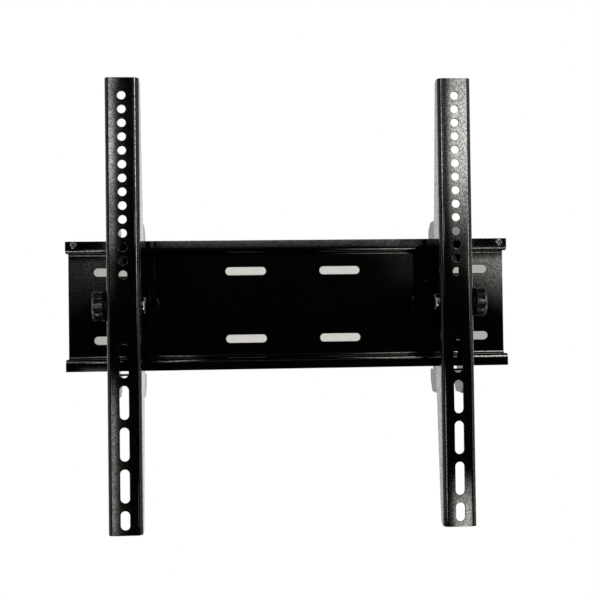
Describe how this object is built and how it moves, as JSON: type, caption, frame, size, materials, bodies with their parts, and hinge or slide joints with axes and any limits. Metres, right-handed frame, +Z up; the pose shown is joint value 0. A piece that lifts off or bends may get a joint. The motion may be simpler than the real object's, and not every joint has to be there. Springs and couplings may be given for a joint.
{
  "type": "tv wall mount",
  "caption": "Tilting wall mount for a flat screen: a folded wall plate with two rails and slotted vertical arms hung on it by hooks, each clamped at its pivot by a fluted knob.",
  "frame": {"origin": "middle of the wall plate's back face, in the plane of the wall", "axes": "+X along the rails to the right as seen from the front, +Y into the wall, +Z up; the screen side faces -Y"},
  "size_m": [0.4482, 0.073, 0.43],
  "materials": {
    "powder_coat": "black semi-gloss powder coat with fine texture",
    "dark_hardware": "black oxide steel",
    "zinc_hardware": "zinc plated steel",
    "knob_plastic": "black moulded plastic",
    "nylon": "black nylon"
  },
  "bodies": {
    "wall_plate": {"wall_plate": "powder_coat", "left_stop_screw": "dark_hardware", "left_stop_nut": "zinc_hardware", "right_stop_screw": "dark_hardware", "right_stop_nut": "zinc_hardware"},
    "left_hanger": {"left_hanger": "powder_coat", "left_spacer": "zinc_hardware"},
    "left_arm": {"left_arm": "powder_coat", "left_pivot_bolt": "dark_hardware", "left_outer_friction_washer": "nylon", "left_inner_friction_washer": "nylon", "left_knob_washer": "dark_hardware"},
    "left_knob": {"left_knob": "knob_plastic", "left_knob_nut": "zinc_hardware"},
    "left_lock_screw": {"left_lock_screw": "dark_hardware"},
    "right_hanger": {"right_hanger": "powder_coat", "right_spacer": "zinc_hardware"},
    "right_arm": {"right_arm": "powder_coat", "right_pivot_bolt": "dark_hardware", "right_outer_friction_washer": "nylon", "right_inner_friction_washer": "nylon", "right_knob_washer": "dark_hardware"},
    "right_knob": {"right_knob": "knob_plastic", "right_knob_nut": "zinc_hardware"},
    "right_lock_screw": {"right_lock_screw": "dark_hardware"}
  },
  "joints": [
    {"name": "left_hanger_slide", "type": "slide", "parent": "wall_plate", "child": "left_hanger", "axis": [1, 0, 0], "range_m": [-0.039, 0.1085]},
    {"name": "left_arm_tilt", "type": "hinge", "parent": "left_hanger", "child": "left_arm", "pos_m": [-0.1585, -0.057, 0], "axis": [1, 0, 0], "range_deg": [-15, 15]},
    {"name": "left_knob_turn", "type": "hinge", "parent": "left_arm", "child": "left_knob", "pos_m": [-0.1585, -0.057, 0], "axis": [-1, 0, 0], "range_deg": [0, 360]},
    {"name": "left_lock_screw_travel", "type": "slide", "parent": "left_hanger", "child": "left_lock_screw", "axis": [0, 0, -1], "range_m": [0, 0.01]},
    {"name": "right_hanger_slide", "type": "slide", "parent": "wall_plate", "child": "right_hanger", "axis": [1, 0, 0], "range_m": [-0.1085, 0.039]},
    {"name": "right_arm_tilt", "type": "hinge", "parent": "right_hanger", "child": "right_arm", "pos_m": [0.1585, -0.057, 0], "axis": [1, 0, 0], "range_deg": [-15, 15]},
    {"name": "right_knob_turn", "type": "hinge", "parent": "right_arm", "child": "right_knob", "pos_m": [0.1585, -0.057, 0], "axis": [1, 0, 0], "range_deg": [0, 360]},
    {"name": "right_lock_screw_travel", "type": "slide", "parent": "right_hanger", "child": "right_lock_screw", "axis": [0, 0, -1], "range_m": [0, 0.01]}
  ]
}
